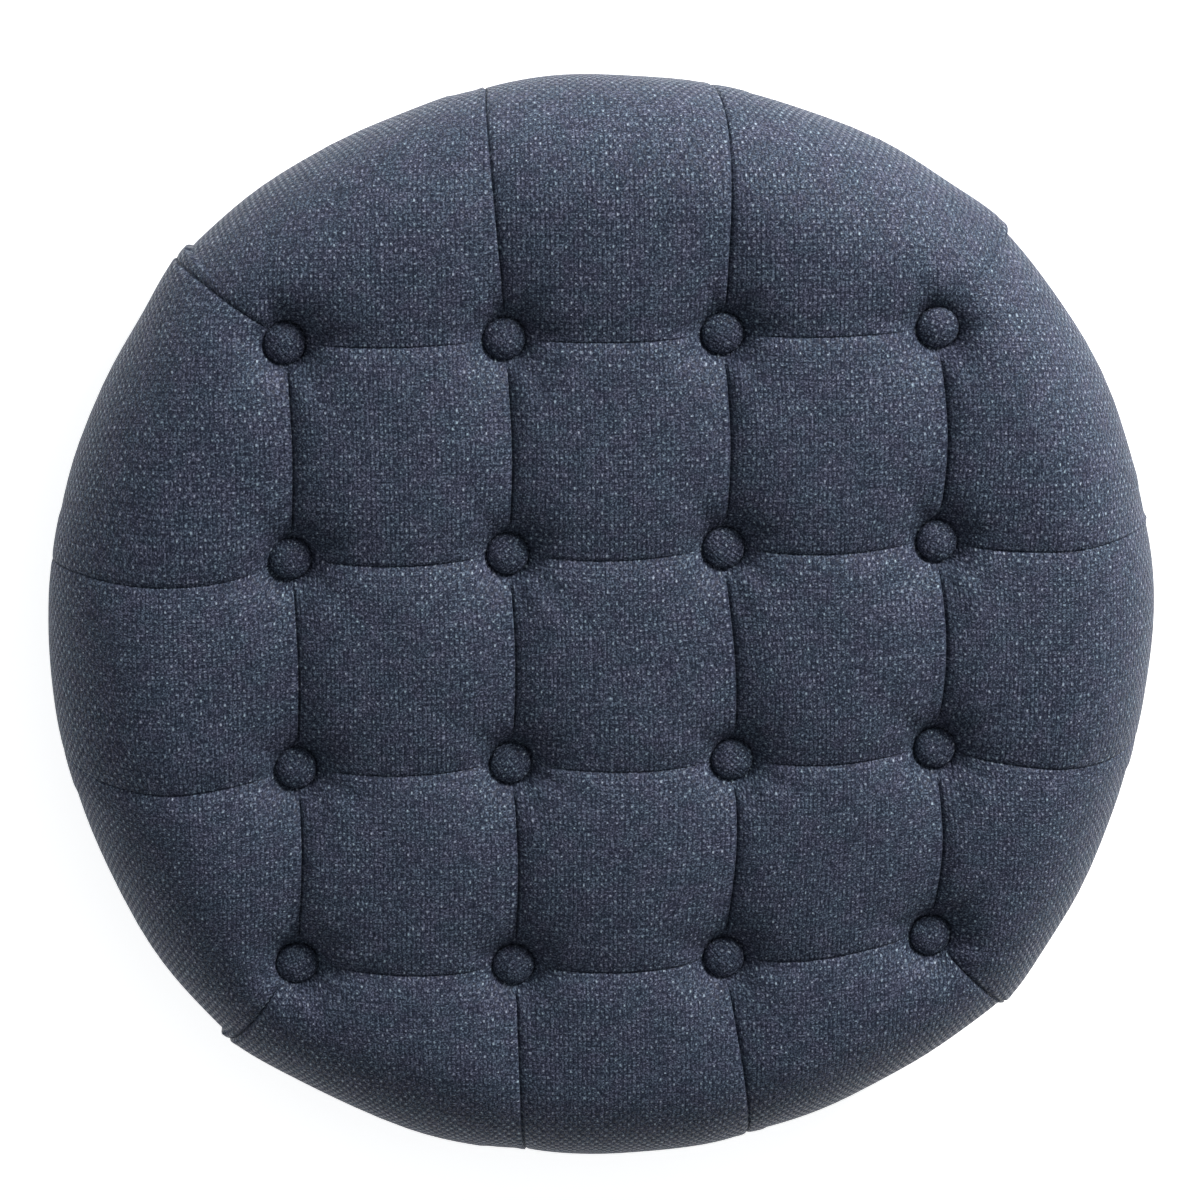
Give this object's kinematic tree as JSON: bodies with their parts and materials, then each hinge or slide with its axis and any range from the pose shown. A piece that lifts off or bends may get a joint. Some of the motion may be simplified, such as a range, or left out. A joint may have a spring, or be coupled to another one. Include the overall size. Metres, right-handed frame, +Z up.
{
  "type": "seat cushion",
  "caption": "Round button-tufted upholstered seat cushion on a plywood board, with a flat underside and tee nuts for screwing it to a base.",
  "frame": {"origin": "middle of the underside", "axes": "+Z up, out of the seat; +X to the sitter's right and +Y to the back, along the rows of buttons"},
  "size_m": [0.56, 0.56, 0.118],
  "materials": {
    "cover_cloth": "navy-slate melange upholstery cloth, two-and-two rib weave, faint sheen",
    "button_cloth": "the same cloth pulled over the buttons",
    "batting": "white polyester batting",
    "foam": "cream open-cell polyurethane foam",
    "plywood": "sanded birch plywood",
    "dust_cloth": "black spunbond non-woven",
    "zinc_steel": "bright zinc plate",
    "button_aluminium": "pressed, plain",
    "button_back_steel": "pressed, tin plated",
    "eye_wire": "drawn wire",
    "staple_wire": "galvanised flat wire",
    "twine": "waxed nylon tufting twine"
  },
  "bodies": {
    "root": {"batting_wrap": "batting", "button_back_plates": "button_back_steel", "button_cover_a1": "button_cloth", "button_cover_a2": "button_cloth", "button_cover_a3": "button_cloth", "button_cover_a4": "button_cloth", "button_cover_b1": "button_cloth", "button_cover_b2": "button_cloth", "button_cover_b3": "button_cloth", "button_cover_b4": "button_cloth", "button_cover_c1": "button_cloth", "button_cover_c2": "button_cloth", "button_cover_c3": "button_cloth", "button_cover_c4": "button_cloth", "button_cover_d1": "button_cloth", "button_cover_d2": "button_cloth", "button_cover_d3": "button_cloth", "button_cover_d4": "button_cloth", "button_eyes": "eye_wire", "button_shells": "button_aluminium", "dust_cover": "dust_cloth", "dust_cover_staples": "staple_wire", "foam_core": "foam", "hem_staples": "staple_wire", "seat_board": "plywood", "tee_nut_1": "zinc_steel", "tee_nut_2": "zinc_steel", "tee_nut_3": "zinc_steel", "tee_nut_4": "zinc_steel", "tufted_cover": "cover_cloth", "tufting_twine_a1": "twine", "tufting_twine_a2": "twine", "tufting_twine_a3": "twine", "tufting_twine_a4": "twine", "tufting_twine_b1": "twine", "tufting_twine_b2": "twine", "tufting_twine_b3": "twine", "tufting_twine_b4": "twine", "tufting_twine_c1": "twine", "tufting_twine_c2": "twine", "tufting_twine_c3": "twine", "tufting_twine_c4": "twine", "tufting_twine_d1": "twine", "tufting_twine_d2": "twine", "tufting_twine_d3": "twine", "tufting_twine_d4": "twine", "twine_staples": "staple_wire"}
  },
  "joints": []
}
